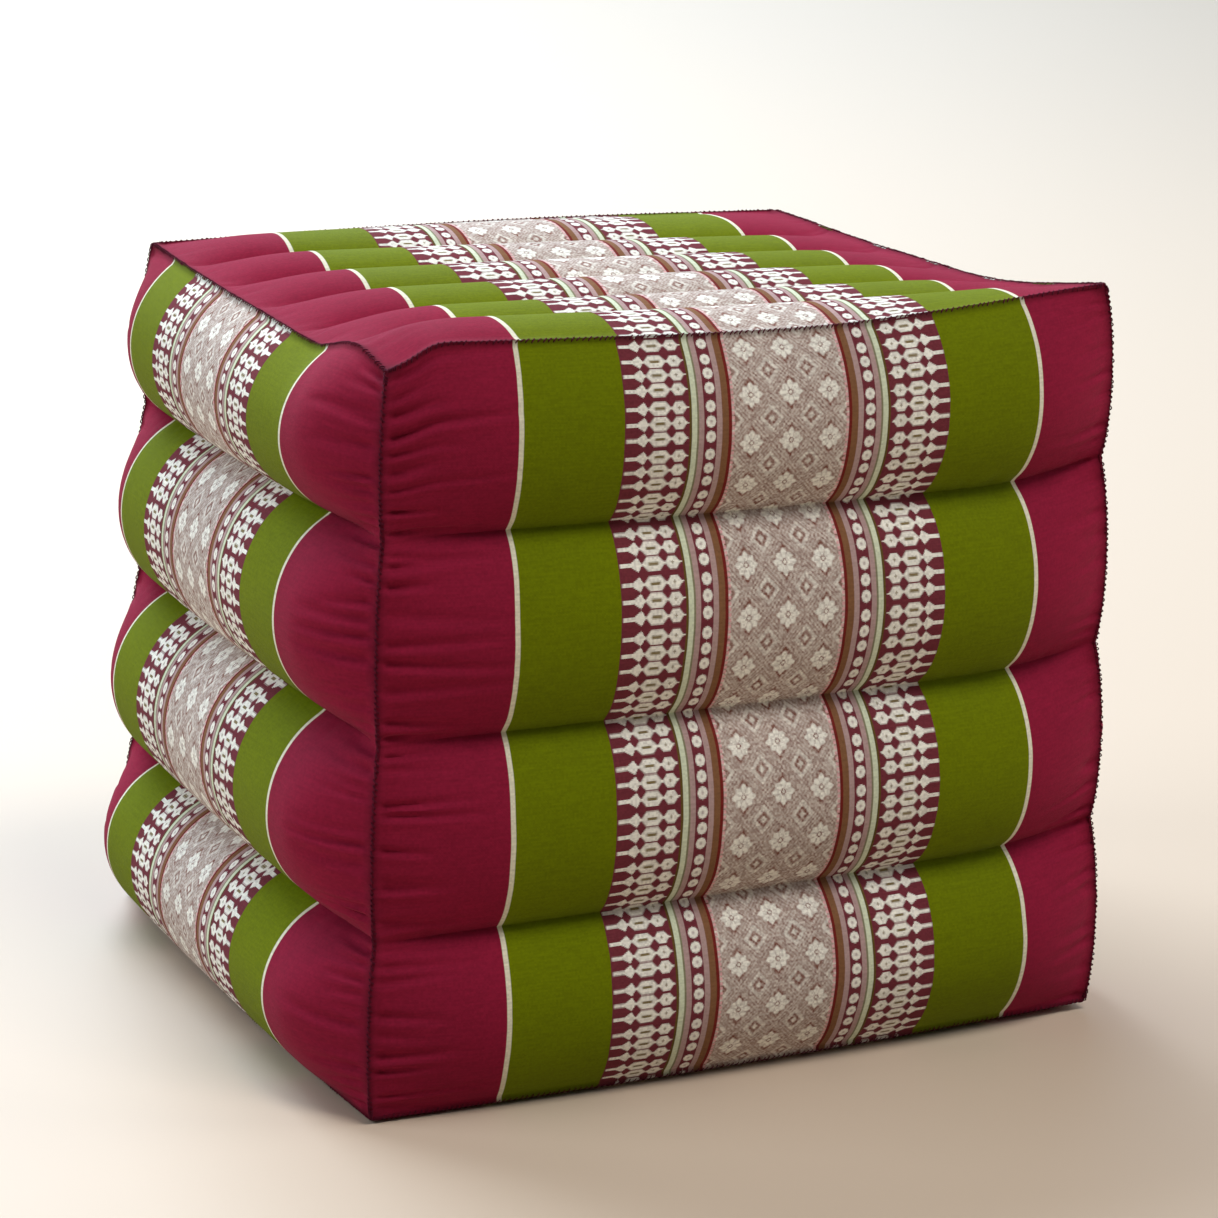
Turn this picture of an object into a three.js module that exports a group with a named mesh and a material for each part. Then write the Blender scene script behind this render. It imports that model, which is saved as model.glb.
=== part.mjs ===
// Cube floor cushion: a filled cloth cube sewn from six panels.
// The side panels are divided by stitched creases into level channels,
// the top and the base into ribs that run along the width.
// Millimetres, +Z up, front towards -Y, origin on the floor under the middle.
import * as THREE from "three";

// Corners of the sewn box, where three panels meet.
// dip is how far the corner is drawn down below the line of its seams.
const CORNERS = [
  { across: 0, back: 0, up: 0, x: -169, y: -157, z: 3, dip: 0 },
  { across: 1, back: 0, up: 0, x: 168, y: -149, z: 5, dip: 0 },
  { across: 0, back: 1, up: 0, x: -169, y: 160, z: 4, dip: 0 },
  { across: 1, back: 1, up: 0, x: 167, y: 157, z: 4, dip: 0 },
  { across: 0, back: 0, up: 1, x: -162, y: -150, z: 316, dip: 6 },
  { across: 1, back: 0, up: 1, x: 163, y: -149, z: 324, dip: -2 },
  { across: 0, back: 1, up: 1, x: -157, y: 149, z: 313, dip: 3 },
  { across: 1, back: 1, up: 1, x: 159, y: 149, z: 313, dip: -2 },
];
const DIP_REACH = 26;
const BOX_WIDTH = 330;
const BOX_DEPTH = 310;
const BOX_HEIGHT = 315;

// Outward bow of the seams seen from above, and the swell of the box between creases.
const PLAN_BOW = 5;
const GIRTH_SWELL = 0.016;

// Heights of the stitched creases as shares of the box, at the four upright seams.
const SIDE_CREASES = [
  { crease: "base seam", frontLeft: 0, frontRight: 0, backLeft: 0, backRight: 0 },
  { crease: "lower", frontLeft: 0.232, frontRight: 0.243, backLeft: 0.24, backRight: 0.245 },
  { crease: "middle", frontLeft: 0.495, frontRight: 0.497, backLeft: 0.5, backRight: 0.5 },
  { crease: "upper", frontLeft: 0.762, frontRight: 0.757, backLeft: 0.755, backRight: 0.755 },
  { crease: "top seam", frontLeft: 1, frontRight: 1, backLeft: 1, backRight: 1 },
];
// The creases turn up as they reach the front right seam.
const CREASE_TURN = 0.026;
const CREASE_TURN_REACH = 0.2;

// How far each side channel swells out, from the lowest channel to the uppermost,
// near the start, the middle and the end of its panel along +X or +Y.
const SIDE_SWELL = {
  front: [
    { start: 11, middle: 14, end: 15 },
    { start: 11, middle: 14, end: 15 },
    { start: 11, middle: 14, end: 15 },
    { start: 10, middle: 13, end: 16 },
  ],
  back: [
    { start: 15, middle: 15, end: 13 },
    { start: 14, middle: 15, end: 14 },
    { start: 15, middle: 14, end: 15 },
    { start: 14, middle: 14, end: 13 },
  ],
  left: [
    { start: 24, middle: 18, end: 24 },
    { start: 23, middle: 18, end: 23 },
    { start: 22, middle: 17, end: 22 },
    { start: 21, middle: 16, end: 19 },
  ],
  right: [
    { start: 19, middle: 17, end: 20 },
    { start: 20, middle: 17, end: 20 },
    { start: 19, middle: 16, end: 19 },
    { start: 17, middle: 15, end: 18 },
  ],
};
const SIDE_END_REACH = { front: 50, back: 50, left: 44, right: 44 };
const SIDE_ARC = 50;

// Ribs of the top from front to back: swell near the left, the middle and the right.
const TOP_RIBS = [
  { left: 13, middle: 11, right: 8 },
  { left: 9, middle: 8, right: 6 },
  { left: 8, middle: 8, right: 6 },
  { left: 8, middle: 8, right: 6 },
  { left: 9, middle: 8, right: 7 },
  { left: 10, middle: 9, right: 8 },
];
const RIB_END_REACH = 42;
const RIB_ARC = 48;
// Depth to which the stitching draws the top below its seams, and the reach of that drop.
const TOP_DRAW = 5;
const TOP_DRAW_SIDE_REACH = 38;
const TOP_DRAW_FRONT_REACH = 24;
// Ribs of the base, pressed flat by the floor, and the grooves left between them.
const BASE_SWELL = 14;
const BASE_DRAW = 4;

// Ridge of cloth edges along every seam.
const SEAM_RIDGE = 1.8;
const SEAM_RIDGE_SHARE = 0.009;

// Fineness of the facets: steps over a channel, over a rib, and shares across the half width.
const CHANNEL_STEPS = 8;
const RIB_STEPS = 5;
const HALF_WIDTH_SHARES = [0, SEAM_RIDGE_SHARE, 0.03, 0.058, 0.092, 0.135, 0.19, 0.26, 0.34, 0.42];

const CLOTH_COLOUR = 0x7c1d37;
const CLOTH_ROUGHNESS = 0.85;

const mix = (a, b, t) => a + (b - a) * t;
const clamp01 = (t) => Math.min(1, Math.max(0, t));

// Rise from a seam: nothing on the seam, full at the end of the reach.
const rise = (distance, reach) => 1 - (1 - clamp01(distance / reach)) ** 2;

// Curve through three values at the start, the middle and the end.
const through = (start, middle, end, t) =>
  start * (1 - t) * (1 - 2 * t) + middle * 4 * t * (1 - t) + end * t * (2 * t - 1);

// A point of a round channel between two creases, where turn runs from -1 to 1.
function channelArc(turn, arcDegrees) {
  const half = THREE.MathUtils.degToRad(arcDegrees);
  return {
    share: (Math.sin(half * turn) / Math.sin(half) + 1) / 2,
    height: (Math.cos(half * turn) - Math.cos(half)) / (1 - Math.cos(half)),
  };
}

// Stations over a row of channels; the first and last steps carry the seam ridge.
function channelStations(count, steps, arcDegrees) {
  const stations = [];
  for (let channel = 0; channel < count; channel += 1) {
    for (let step = 0; step < steps; step += 1) {
      const turn = (2 * step) / steps - 1;
      stations.push({ channel, ...channelArc(turn, arcDegrees) });
      if (channel === 0 && step === 0) {
        stations.push({ channel, ...channelArc(-1 + SEAM_RIDGE_SHARE * count * 2, arcDegrees) });
      }
    }
  }
  stations.push({ channel: count - 1, ...channelArc(1 - SEAM_RIDGE_SHARE * count * 2, arcDegrees) });
  stations.push({ channel: count - 1, share: 1, height: 0 });
  return stations;
}

const levels = channelStations(SIDE_CREASES.length - 1, CHANNEL_STEPS, SIDE_ARC);
const rows = channelStations(TOP_RIBS.length, RIB_STEPS, RIB_ARC).map((station) => ({
  ...station,
  share: (station.channel + station.share) / TOP_RIBS.length,
}));
const columns = [
  ...HALF_WIDTH_SHARES,
  0.5,
  ...HALF_WIDTH_SHARES.map((share) => 1 - share).reverse(),
];

// The sewn box before filling: corners joined by seams that bow in plan and dip at corners.
function sewnBox(across, back, up) {
  const point = new THREE.Vector3();
  for (const corner of CORNERS) {
    const weight =
      (corner.across ? across : 1 - across) *
      (corner.back ? back : 1 - back) *
      (corner.up ? up : 1 - up);
    point.x += weight * corner.x;
    point.y += weight * corner.y;
    point.z += weight * corner.z;
  }
  const fromMiddleX = 2 * across - 1;
  const fromMiddleY = 2 * back - 1;
  point.x += fromMiddleX * PLAN_BOW * (1 - fromMiddleY ** 2);
  point.y += fromMiddleY * PLAN_BOW * (1 - fromMiddleX ** 2);
  for (const corner of CORNERS) {
    const away =
      ((across - corner.across) * BOX_WIDTH) ** 2 +
      ((back - corner.back) * BOX_DEPTH) ** 2 +
      ((up - corner.up) * BOX_HEIGHT) ** 2;
    point.z -= corner.dip * Math.exp(-away / DIP_REACH ** 2);
  }
  return point;
}

// Share of the height at which a crease crosses a panel.
function creaseShare(crease, across, back) {
  const row = SIDE_CREASES[crease];
  const level = mix(
    mix(row.frontLeft, row.frontRight, across),
    mix(row.backLeft, row.backRight, across),
    back,
  );
  const ends = crease === 0 || crease === SIDE_CREASES.length - 1;
  const near = clamp01(1 - (1 - across) / CREASE_TURN_REACH) * clamp01(1 - back / CREASE_TURN_REACH);
  return ends ? level : level + CREASE_TURN * near ** 2;
}

// Swell of a side channel at a share along its panel.
function sideSwell(panel, level, along, length) {
  const row = SIDE_SWELL[panel][level.channel];
  const end = Math.min(along, 1 - along) * length;
  return through(row.start, row.middle, row.end, along) * level.height * rise(end, SIDE_END_REACH[panel]);
}

// Swell and draw of the top and the base at a share across and back.
function ribSwell(swell, draw, row, across) {
  const side = Math.min(across, 1 - across) * BOX_WIDTH;
  const front = Math.min(row.share, 1 - row.share) * BOX_DEPTH;
  const drawn = rise(side, TOP_DRAW_SIDE_REACH) * rise(front, TOP_DRAW_FRONT_REACH);
  return swell * row.height * rise(side, RIB_END_REACH) - draw * drawn;
}

// Position of one point of the filled cube.
function cushionPoint(column, row, level) {
  const across = columns[column];
  const rib = rows[row];
  const channel = levels[level];
  const back = rib.share;
  const atBase = level === 0;
  const atTop = level === levels.length - 1;
  const atLeft = column === 0;
  const atRight = column === columns.length - 1;
  const atFront = row === 0;
  const atBack = row === rows.length - 1;
  const up = mix(
    creaseShare(channel.channel, across, back),
    creaseShare(channel.channel + 1, across, back),
    channel.share,
  );
  const point = sewnBox(across, back, up);
  const swell = 1 + GIRTH_SWELL * channel.height;
  point.x *= swell;
  point.y *= swell;
  if (atFront) point.y -= sideSwell("front", channel, across, BOX_WIDTH);
  if (atBack) point.y += sideSwell("back", channel, across, BOX_WIDTH);
  if (atLeft) point.x -= sideSwell("left", channel, back, BOX_DEPTH);
  if (atRight) point.x += sideSwell("right", channel, back, BOX_DEPTH);
  if (atTop) {
    const ribRow = TOP_RIBS[rib.channel];
    const ribHeight = through(ribRow.left, ribRow.middle, ribRow.right, across);
    point.z += ribSwell(ribHeight, TOP_DRAW, rib, across);
  }
  if (atBase) point.z -= ribSwell(BASE_SWELL, BASE_DRAW, rib, across);
  const outX = atRight - atLeft;
  const outY = atBack - atFront;
  const outZ = atTop - atBase;
  if (Math.abs(outX) + Math.abs(outY) + Math.abs(outZ) > 1) {
    const ridge = new THREE.Vector3(outX, outY, outZ).normalize().multiplyScalar(SEAM_RIDGE);
    point.add(ridge);
  }
  point.z = Math.max(0, point.z);
  return point;
}

// The closed surface: six panels of facets that share their seam points.
function cushionGeometry() {
  const positions = [];
  const index = [];
  const known = new Map();
  const last = { column: columns.length - 1, row: rows.length - 1, level: levels.length - 1 };
  const vertex = (column, row, level) => {
    const key = (column * rows.length + row) * levels.length + level;
    if (!known.has(key)) {
      known.set(key, positions.length / 3);
      positions.push(...cushionPoint(column, row, level).toArray());
    }
    return known.get(key);
  };
  const facet = (a, b, c, d) => {
    index.push(a, b, c);
    index.push(a, c, d);
  };
  const panel = (across, upward, corner) => {
    for (let i = 0; i < across; i += 1) {
      for (let j = 0; j < upward; j += 1) {
        facet(corner(i, j), corner(i + 1, j), corner(i + 1, j + 1), corner(i, j + 1));
      }
    }
  };
  panel(last.column, last.level, (i, j) => vertex(i, 0, j));
  panel(last.column, last.level, (i, j) => vertex(last.column - i, last.row, j));
  panel(last.row, last.level, (i, j) => vertex(0, last.row - i, j));
  panel(last.row, last.level, (i, j) => vertex(last.column, i, j));
  panel(last.column, last.row, (i, j) => vertex(i, j, last.level));
  panel(last.column, last.row, (i, j) => vertex(i, last.row - j, 0));
  const geometry = new THREE.BufferGeometry();
  geometry.setAttribute("position", new THREE.Float32BufferAttribute(positions, 3));
  geometry.setIndex(index);
  geometry.computeBoundingBox();
  const middle = geometry.boundingBox.getCenter(new THREE.Vector3());
  geometry.translate(-middle.x, -middle.y, 0);
  geometry.computeVertexNormals();
  return geometry;
}

const cloth = new THREE.MeshStandardMaterial({
  name: "woven_cotton",
  color: CLOTH_COLOUR,
  roughness: CLOTH_ROUGHNESS,
  metalness: 0,
});
const cushion = new THREE.Mesh(cushionGeometry(), cloth);
cushion.name = "cushion";

const part = new THREE.Group();
part.name = "cube_cushion";
part.add(cushion);

export default part;
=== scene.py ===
"""Cube cushion of banded cotton: six stuffed panels sewn edge to edge, and their overcast thread."""

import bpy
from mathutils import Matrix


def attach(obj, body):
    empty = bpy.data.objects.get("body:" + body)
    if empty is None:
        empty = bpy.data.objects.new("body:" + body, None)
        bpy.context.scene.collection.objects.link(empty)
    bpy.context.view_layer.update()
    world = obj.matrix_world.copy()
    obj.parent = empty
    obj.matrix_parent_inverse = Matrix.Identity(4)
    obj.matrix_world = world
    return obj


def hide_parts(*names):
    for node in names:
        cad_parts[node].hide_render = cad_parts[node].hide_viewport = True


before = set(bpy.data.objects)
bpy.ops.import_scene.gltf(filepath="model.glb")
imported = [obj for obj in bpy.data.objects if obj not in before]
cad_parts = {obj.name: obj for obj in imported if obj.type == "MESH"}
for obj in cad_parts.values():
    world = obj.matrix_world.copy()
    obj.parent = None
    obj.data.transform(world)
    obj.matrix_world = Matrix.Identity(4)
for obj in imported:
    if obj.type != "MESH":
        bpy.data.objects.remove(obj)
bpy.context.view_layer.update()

import math
import random

import bpy
import numpy as np
from mathutils import Matrix, Vector

MM = 0.001

# The sewn box in millimetres: where each corner would sit if the seams were straight.
CORNERS = [
    {"across": 0, "back": 0, "up": 0, "at": (-171, -157, 3)},
    {"across": 1, "back": 0, "up": 0, "at": (170, -149, 5)},
    {"across": 0, "back": 1, "up": 0, "at": (-172, 160, 4)},
    {"across": 1, "back": 1, "up": 0, "at": (167, 157, 4)},
    {"across": 0, "back": 0, "up": 1, "at": (-162, -150, 318)},
    {"across": 1, "back": 0, "up": 1, "at": (164, -149, 319)},
    {"across": 0, "back": 1, "up": 1, "at": (-159, 149, 317)},
    {"across": 1, "back": 1, "up": 1, "at": (159, 149, 310)},
]
BOX_WIDTH, BOX_DEPTH, BOX_HEIGHT = 330.0, 310.0, 315.0
# Heights of the top seams in millimetres at shares of their length, from the left or from the front.
TOP_SEAMS = {
    "front": {
        "shares": (0, 0.03, 0.067, 0.16, 0.55, 0.74, 0.93, 1),
        "heights": (310, 314, 320, 319.2, 316.7, 319.4, 324, 325.5),
    },
    "back": {"shares": (0, 0.5, 1), "heights": (314, 315, 313.3)},
    "left": {
        "shares": (0, 0.04, 0.085, 0.12, 0.175, 0.23, 0.45, 1),
        "heights": (310, 312.8, 315.5, 315, 311.4, 308.4, 310.6, 314),
    },
    "right": {
        "shares": (0, 0.128, 0.25, 0.34, 0.42, 0.64, 1),
        "heights": (325.5, 319, 313.5, 311, 310, 310, 313.3),
    },
}
# How far the bend of a top seam spreads over the top, and down the sides as a share of the height.
SAG_SPREAD, SAG_DROP = 62.0, 0.25
# Outward bow of the sides seen from above, in millimetres, and the girth that the channels add.
PLAN_BOW, GIRTH_SWELL = 5.0, 0.016
# Middle of the box before it is brought over the origin, in millimetres.
BOX_MIDDLE = (-1.44, 2.98)

# Heights of the creases as shares of the box: front left, front right, back left, back right.
SIDE_CREASES = [
    (0, 0, 0, 0),
    (0.232, 0.243, 0.24, 0.245),
    (0.495, 0.497, 0.5, 0.5),
    (0.762, 0.757, 0.755, 0.755),
    (1, 1, 1, 1),
]
# The creases rise towards the front right seam.
CREASE_TURN, CREASE_TURN_REACH = 0.026, 0.2

# Swell of the side channels from the lowest up: start, middle and end of the panel.
SIDE_SWELL = {
    "front": [(11, 14, 15), (11, 14, 15), (11, 14, 15), (10, 13, 16)],
    "back": [(15, 15, 13), (14, 15, 14), (15, 14, 15), (14, 14, 13)],
    "left": [(25, 19, 23), (24, 19, 22), (23, 18, 21), (22, 17, 19)],
    "right": [(19, 17, 20), (20, 17, 20), (19, 16, 19), (17, 15, 18)],
}
SIDE_END_REACH = {"front": 50.0, "back": 50.0, "left": 44.0, "right": 44.0}
SIDE_ARC = math.radians(50)
# Swell of the top ribs from front to back: left, middle and right.
TOP_RIBS = [(13, 11, 8), (9, 8, 6), (8, 8, 6), (8, 8, 6), (9, 8, 7), (10, 9, 8)]
RIB_END_REACH = 42.0
RIB_ARC = math.radians(48)
TOP_DRAW, TOP_DRAW_SIDE_REACH, TOP_DRAW_FRONT_REACH = 5.0, 38.0, 24.0
BASE_SWELL, BASE_DRAW = 14.0, 4.0

# Depth and reach of the sharp fold at each stitched line.
SIDE_PULL, RIB_PULL, PULL_REACH, PULL_END_REACH = 2.6, 1.4, 6.0, 30.0

CHANNELS, RIBS = 4, 6
# Cells along an edge of the lattice, and how often each is split upwards.
CELLS, UP_SPLIT = 72, 2

# Where the bands of the cloth fall on each panel, as shares of its width.
BAND_EDGES = (-180.0, -124.5, -76.5, 76.5, 124.5, 180.0)
BAND_SHARES = {
    "front": (0, 0.16, 0.295, 0.7375, 0.875, 1),
    "back": (0, 0.15, 0.285, 0.725, 0.86, 1),
    "left": (0, 0.19, 0.325, 0.753, 0.87, 1),
    "right": (0, 0.14, 0.275, 0.73, 0.865, 1),
    "top": (0, 0.165, 0.3, 0.7375, 0.875, 1),
    "base": (0, 0.15, 0.29, 0.72, 0.86, 1),
}
# Length of cloth down each kind of panel, in millimetres, and the start of its weave.
SIDE_CLOTH, TOP_CLOTH = 356.0, 339.0
WEAVE_START = {"front": 6.0, "back": 11.0, "left": 15.0, "right": 3.0, "top": 9.0, "base": 0.0}
PANELS = ("front", "back", "left", "right", "top", "base")


def active():
    return bpy.context.view_layer.objects.active


def alone(piece):
    """Selects one piece and makes it the active one."""
    bpy.ops.object.select_all(action="DESELECT")
    piece.select_set(True)
    bpy.context.view_layer.objects.active = piece


def apply_modifiers(piece):
    alone(piece)
    for modifier in list(piece.modifiers):
        bpy.ops.object.modifier_apply(modifier=modifier.name)


def places(mesh):
    found = np.empty(len(mesh.vertices) * 3)
    mesh.vertices.foreach_get("co", found)
    return found.reshape(-1, 3)


def set_places(mesh, found):
    mesh.vertices.foreach_set("co", np.ascontiguousarray(found, dtype=np.float32).ravel())
    mesh.update()


def normals(mesh):
    found = np.empty(len(mesh.vertices) * 3, dtype=np.float32)
    mesh.vertex_normals.foreach_get("vector", found)
    return found.reshape(-1, 3).astype(float)


def edge_ends(mesh):
    found = np.empty(len(mesh.edges) * 2, dtype=int)
    mesh.edges.foreach_get("vertices", found)
    return found.reshape(-1, 2)


# Shape of the stuffed cube

def stitch_pull(steps, count, pitch):
    """Sharp extra depth at the stitched lines between round channels."""
    along = steps * count / CELLS
    away = abs(along - np.rint(along)) * pitch
    inner = (np.rint(along) > 0) & (np.rint(along) < count)
    return inner * np.exp(-away / PULL_REACH)


def rise(distance, reach):
    return 1 - (1 - np.clip(distance / reach, 0, 1)) ** 2


def ends_of(share):
    return np.minimum(share, 1 - share)


def through(values, t):
    start, middle, end = values
    return start * (1 - t) * (1 - 2 * t) + middle * 4 * t * (1 - t) + end * t * (2 * t - 1)


def channel_arc(steps, count, arc):
    """Channel number, share across it and height for a row of round channels."""
    along = steps * count / CELLS
    channel = np.clip(np.floor(along), 0, count - 1).astype(int)
    turn = (along - channel) * 2 - 1
    share = (np.sin(arc * turn) / math.sin(arc) + 1) / 2
    height = (np.cos(arc * turn) - math.cos(arc)) / (1 - math.cos(arc))
    return channel, share, height


def crease_share(crease, across, back):
    table = np.array(SIDE_CREASES)[crease]
    front = table[:, 0] * (1 - across) + table[:, 1] * across
    rear = table[:, 2] * (1 - across) + table[:, 3] * across
    level = front * (1 - back) + rear * back
    turning = np.clip(1 - (1 - across) / CREASE_TURN_REACH, 0, 1)
    turning = turning * np.clip(1 - back / CREASE_TURN_REACH, 0, 1)
    inner = (crease > 0) & (crease < CHANNELS)
    return level + inner * CREASE_TURN * turning**2


def smooth_line(shares, heights, t):
    """A smooth curve through a few heights that never swings past them."""
    shares, heights = np.array(shares, float), np.array(heights, float)
    step = np.diff(heights) / np.diff(shares)
    same_way = step[1:] * step[:-1] > 0
    slope = np.zeros(len(heights))
    slope[1:-1][same_way] = 2 / (1 / step[1:][same_way] + 1 / step[:-1][same_way])
    slope[0], slope[-1] = step[0], step[-1]
    place = np.clip(np.searchsorted(shares, t, side="right") - 1, 0, len(shares) - 2)
    width = shares[place + 1] - shares[place]
    s = (t - shares[place]) / width
    level = heights[place] * (1 + 2 * s) * (1 - s) ** 2 + heights[place + 1] * s**2 * (3 - 2 * s)
    return level + width * (slope[place] * s * (1 - s) ** 2 - slope[place + 1] * s**2 * (1 - s))


def seam_sag(across, back, up):
    """How far the top seams hang below straight lines between the corners."""
    corner = {(spot["across"], spot["back"]): spot["at"][2] for spot in CORNERS if spot["up"]}

    def below(seam, first, last, t):
        straight = corner[first] * (1 - t) + corner[last] * t
        return straight - smooth_line(TOP_SEAMS[seam]["shares"], TOP_SEAMS[seam]["heights"], t)

    def spread(distance):
        return np.clip(1 - distance / SAG_SPREAD, 0, 1) ** 2

    near = {
        ("across", 0): spread(across * BOX_WIDTH),
        ("across", 1): spread((1 - across) * BOX_WIDTH),
        ("back", 0): spread(back * BOX_DEPTH),
        ("back", 1): spread((1 - back) * BOX_DEPTH),
    }
    sag = below("front", (0, 0), (1, 0), across) * near["back", 0]
    sag += below("back", (0, 1), (1, 1), across) * near["back", 1]
    sag += below("left", (0, 0), (0, 1), back) * near["across", 0]
    sag += below("right", (1, 0), (1, 1), back) * near["across", 1]
    for side, level in corner.items():
        end = TOP_SEAMS["back" if side[1] else "front"]["heights"][-1 if side[0] else 0]
        sag -= (level - end) * near["across", side[0]] * near["back", side[1]]
    return sag * np.clip(1 - (1 - up) / SAG_DROP, 0, 1)


def stuffed_cube(column, row, level, fullness):
    """Places in metres of lattice points on the cube, stuffed to a share of the full swell."""
    across = column / CELLS
    rib, rib_share, rib_height = channel_arc(row, RIBS, RIB_ARC)
    back = (rib + rib_share) / RIBS
    channel, channel_share, height = channel_arc(level, CHANNELS, SIDE_ARC)
    low, high = crease_share(channel, across, back), crease_share(channel + 1, across, back)
    up = low + (high - low) * channel_share
    found = np.zeros((len(across), 3))
    for corner in CORNERS:
        share = (across if corner["across"] else 1 - across) * (back if corner["back"] else 1 - back)
        share = share * (up if corner["up"] else 1 - up)
        found += share[:, None] * np.array(corner["at"], float)
    found[:, 2] -= seam_sag(across, back, up)
    from_x, from_y = 2 * across - 1, 2 * back - 1
    found[:, 0] += from_x * PLAN_BOW * (1 - from_y**2)
    found[:, 1] += from_y * PLAN_BOW * (1 - from_x**2)
    found[:, :2] *= (1 + GIRTH_SWELL * height)[:, None]
    sides = (
        ("front", row == 0, 1, -1, across, BOX_WIDTH),
        ("back", row == CELLS, 1, 1, across, BOX_WIDTH),
        ("left", column == 0, 0, -1, back, BOX_DEPTH),
        ("right", column == CELLS, 0, 1, back, BOX_DEPTH),
    )
    for panel, on, axis, sign, along, length in sides:
        swell = np.choose(channel, [through(values, along) for values in SIDE_SWELL[panel]])
        swell = swell * height * rise(ends_of(along) * length, SIDE_END_REACH[panel])
        pull = SIDE_PULL * stitch_pull(level, CHANNELS, BOX_HEIGHT / CHANNELS)
        pull = pull * rise(ends_of(along) * length, PULL_END_REACH)
        found[:, axis] += on * sign * (swell * fullness - pull)
    side = np.minimum(across, 1 - across) * BOX_WIDTH
    front = np.minimum(back, 1 - back) * BOX_DEPTH
    drawn = rise(side, TOP_DRAW_SIDE_REACH) * rise(front, TOP_DRAW_FRONT_REACH)
    rib_swell = np.choose(rib, [through(values, across) for values in TOP_RIBS])
    ends = rise(side, RIB_END_REACH)
    groove = RIB_PULL * stitch_pull(row, RIBS, BOX_DEPTH / RIBS) * ends
    found[:, 2] += (level == CELLS) * (rib_swell * rib_height * ends * fullness - TOP_DRAW * drawn - groove)
    found[:, 2] -= (level == 0) * (BASE_SWELL * rib_height * ends - BASE_DRAW * drawn)
    found[:, 2] = np.maximum(found[:, 2], 0)
    found[:, 0] -= BOX_MIDDLE[0]
    found[:, 1] -= BOX_MIDDLE[1]
    return found * MM


def panel_of_faces(mesh):
    """Panel number of each face of the lattice cube, from where its middle lies."""
    middle = np.empty(len(mesh.polygons) * 3)
    mesh.polygons.foreach_get("center", middle)
    middle = middle.reshape(-1, 3)
    face = np.zeros(len(middle), dtype=int)
    for number, (axis, sign) in enumerate(((1, -1), (1, 1), (0, -1), (0, 1), (2, 1), (2, -1))):
        face[middle[:, axis] * sign > 0.4999] = number
    return face


def cloth_map(panel, steps):
    """Share across and along a panel, and the place on the cloth in metres, of lattice points."""
    column, row, level = steps.T
    rib, rib_share, _ = channel_arc(row, RIBS, RIB_ARC)
    back = (rib + rib_share) / RIBS
    across = back if panel in ("left", "right") else column / CELLS
    along = row / CELLS if panel in ("top", "base") else level / CELLS
    length = TOP_CLOTH if panel in ("top", "base") else SIDE_CLOTH
    u = np.interp(across, BAND_SHARES[panel], BAND_EDGES)
    v = along * length + WEAVE_START[panel]
    return across, along, u * MM, v * MM


def lattice_cube():
    """A cube of sewn panels, each a lattice of cells, with its cloth and bake maps."""
    bpy.ops.mesh.primitive_cube_add(size=1, location=(0, 0, 0))
    cube = active()
    cube.name = "cushion_cover"
    bpy.ops.object.mode_set(mode="EDIT")
    bpy.ops.mesh.select_all(action="SELECT")
    bpy.ops.mesh.subdivide(number_cuts=CELLS - 1)
    bpy.ops.mesh.select_all(action="DESELECT")
    bpy.ops.mesh.select_mode(type="EDGE")
    bpy.ops.object.mode_set(mode="OBJECT")
    mesh = cube.data
    ends = edge_ends(mesh)
    height = places(mesh)[:, 2]
    mesh.edges.foreach_set("select", abs(height[ends[:, 0]] - height[ends[:, 1]]) > 0.5 / CELLS)
    bpy.ops.object.mode_set(mode="EDIT")
    bpy.ops.mesh.subdivide(number_cuts=UP_SPLIT - 1)
    bpy.ops.mesh.select_mode(type="VERT")
    bpy.ops.object.mode_set(mode="OBJECT")
    while mesh.uv_layers:
        mesh.uv_layers.remove(mesh.uv_layers[0])
    steps = np.rint((places(mesh) + 0.5) * CELLS * UP_SPLIT) / UP_SPLIT
    face = panel_of_faces(mesh)
    corner = np.empty(len(mesh.loops), dtype=int)
    mesh.loops.foreach_get("vertex_index", corner)
    loop_face = np.repeat(face, 4)
    cloth = np.zeros((len(corner), 2))
    flat = np.zeros((len(corner), 2))
    for number, panel in enumerate(PANELS):
        on = loop_face == number
        across, along, u, v = cloth_map(panel, steps[corner[on]])
        cloth[on] = np.stack([u, v], -1)
        flat[on] = np.stack([across, along], -1)
    for name, values in (("cloth", cloth), ("OFBake", flat)):
        layer = mesh.uv_layers.new(name=name)
        layer.data.foreach_set("uv", values.astype(np.float32).ravel())
    for panel in PANELS:
        mesh.materials.append(bpy.data.materials.new("cut_" + panel))
    mesh.polygons.foreach_set("material_index", face)
    lattice = mesh.attributes.new("lattice", "FLOAT_VECTOR", "POINT")
    lattice.data.foreach_set("vector", steps.astype(np.float32).ravel())
    return cube, steps


def stitched_points(steps):
    """1 on the seams and stitched creases of the lattice, 0 between them."""
    column, row, level = steps.T
    edges = (column % CELLS == 0).astype(int) + (row % CELLS == 0) + (level % CELLS == 0)
    seam = edges >= 2
    crease = (level % (CELLS // CHANNELS) == 0) & ((column % CELLS == 0) | (row % CELLS == 0))
    groove = (row % (CELLS // RIBS) == 0) & (level % CELLS == 0)
    return seam, seam | crease | groove


def crease_edges(mesh, stitched):
    """Keeps the stitched lines sharp when the cover is smoothed."""
    ends = edge_ends(mesh)
    sharp = (stitched[ends[:, 0]] & stitched[ends[:, 1]]).astype(np.float32)
    layer = mesh.attributes.new("crease_edge", "FLOAT", "EDGE")
    layer.data.foreach_set("value", sharp * STITCHED_SHARPNESS)


# The filling: share of the swell it starts from, pressure and number of frames.
SIM_START, SIM_PRESSURE, SIM_FRAMES = 0.97, 4.0, 20
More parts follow.
